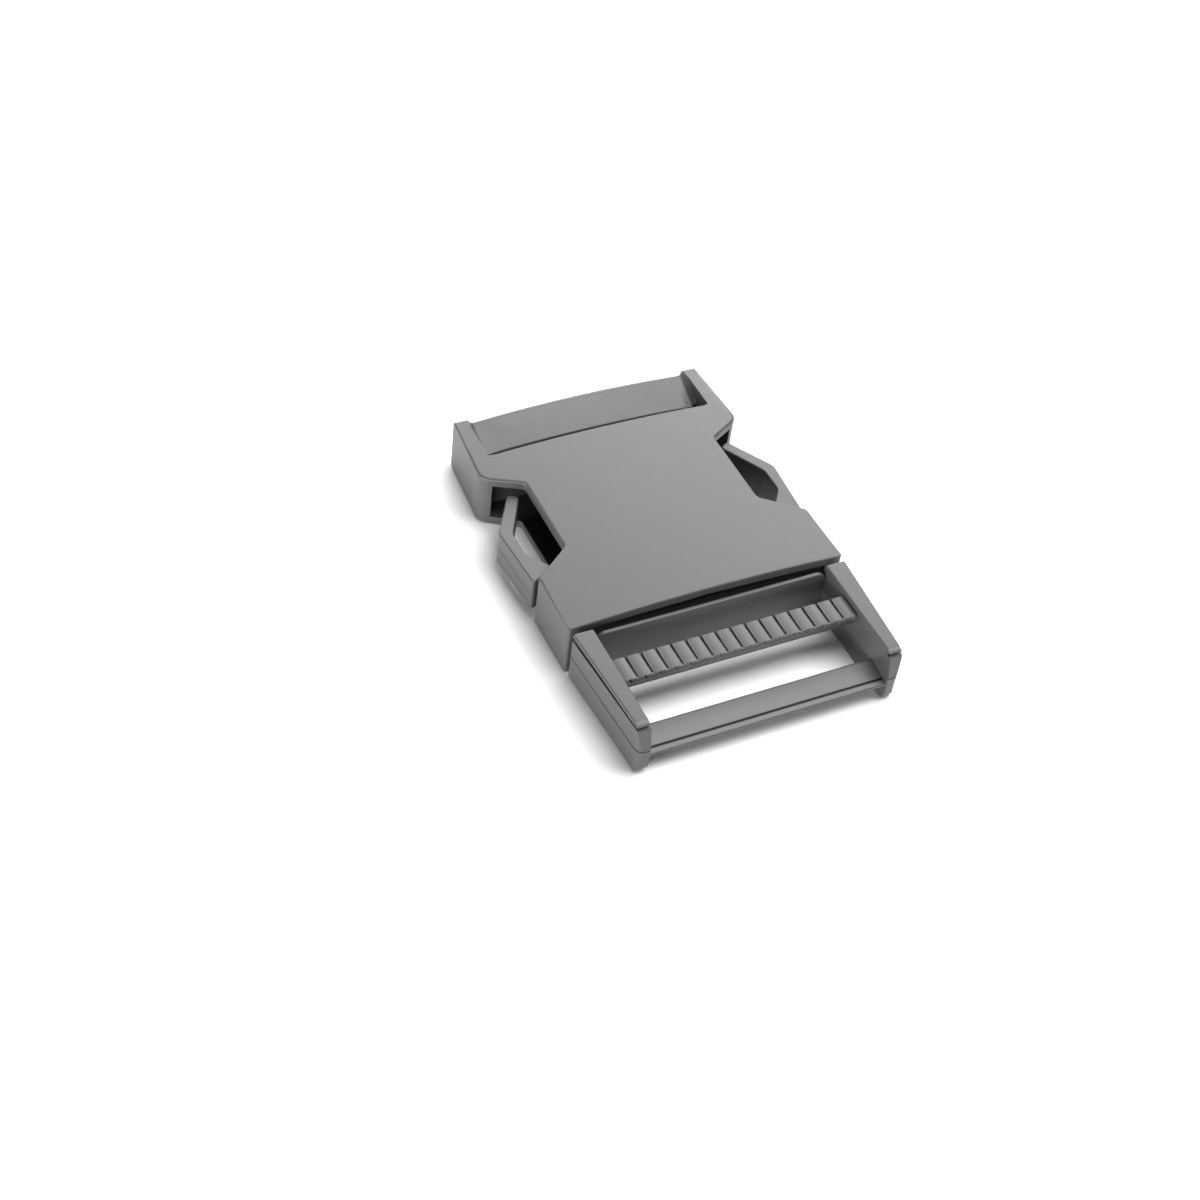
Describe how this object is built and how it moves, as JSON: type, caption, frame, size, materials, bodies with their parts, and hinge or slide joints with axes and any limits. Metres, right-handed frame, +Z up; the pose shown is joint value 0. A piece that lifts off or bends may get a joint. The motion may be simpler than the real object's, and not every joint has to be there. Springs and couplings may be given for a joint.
{
  "type": "side release buckle",
  "caption": "Fastened side release buckle for wide webbing: a hollow socket with a web bar, and a plug with snap arms and a ribbed ladder lock.",
  "frame": {"origin": "on the resting face, under the middle of the fastened buckle", "axes": "+X across the webbing, +Y along the webbing from the plug's ladder lock towards the socket's web bar, +Z up out of the domed face"},
  "size_m": [0.0668, 0.0972, 0.0142],
  "materials": {
    "socket": "fine-grained moulded nylon, dark grey",
    "plug": "fine-grained moulded nylon, dark grey"
  },
  "bodies": {
    "root": {"socket": "socket", "plug": "plug"}
  },
  "joints": []
}
